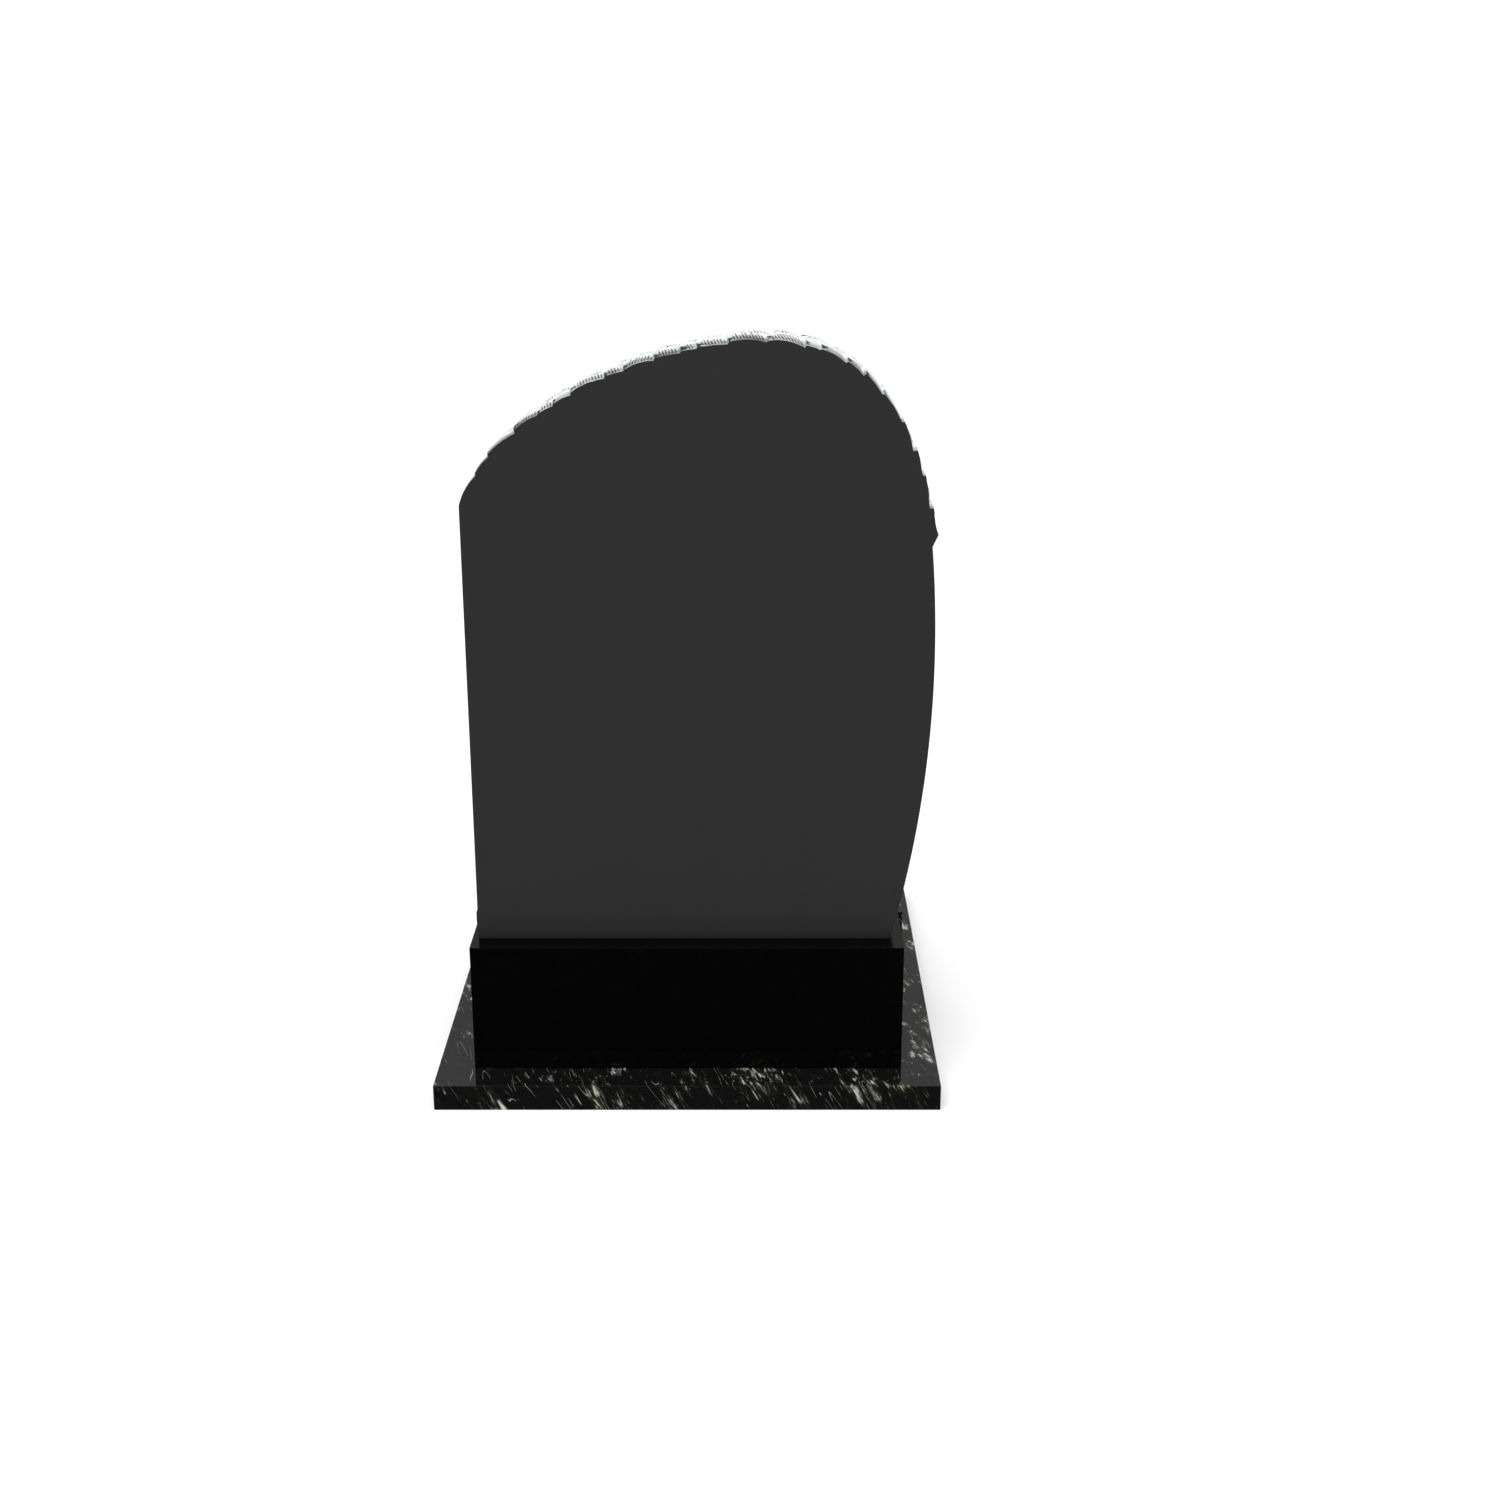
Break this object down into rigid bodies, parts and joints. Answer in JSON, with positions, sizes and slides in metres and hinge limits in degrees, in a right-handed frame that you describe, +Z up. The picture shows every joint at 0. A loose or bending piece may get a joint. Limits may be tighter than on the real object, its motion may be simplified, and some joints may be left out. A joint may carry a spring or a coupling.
{
  "type": "headstone",
  "caption": "Granite headstone: honed arched tablet with a rock-pitched top edge on a polished plinth, a veined block behind it and a wide veined base slab under all.",
  "frame": {"origin": "the middle of the base slab's underside, on the ground", "axes": "+Z up, -Y out of the tablet's face towards the person who looks at it, +X to that person's right"},
  "size_m": [0.762, 0.82, 1.1386],
  "materials": {
    "veined_granite": "polished, black with light grey veins",
    "black_granite": "polished black",
    "honed_granite": "honed dark grey, with a light rock-pitched edge"
  },
  "bodies": {
    "root": {"base_slab": "veined_granite", "plinth": "black_granite", "tablet": "honed_granite", "rear_block": "veined_granite"}
  },
  "joints": []
}
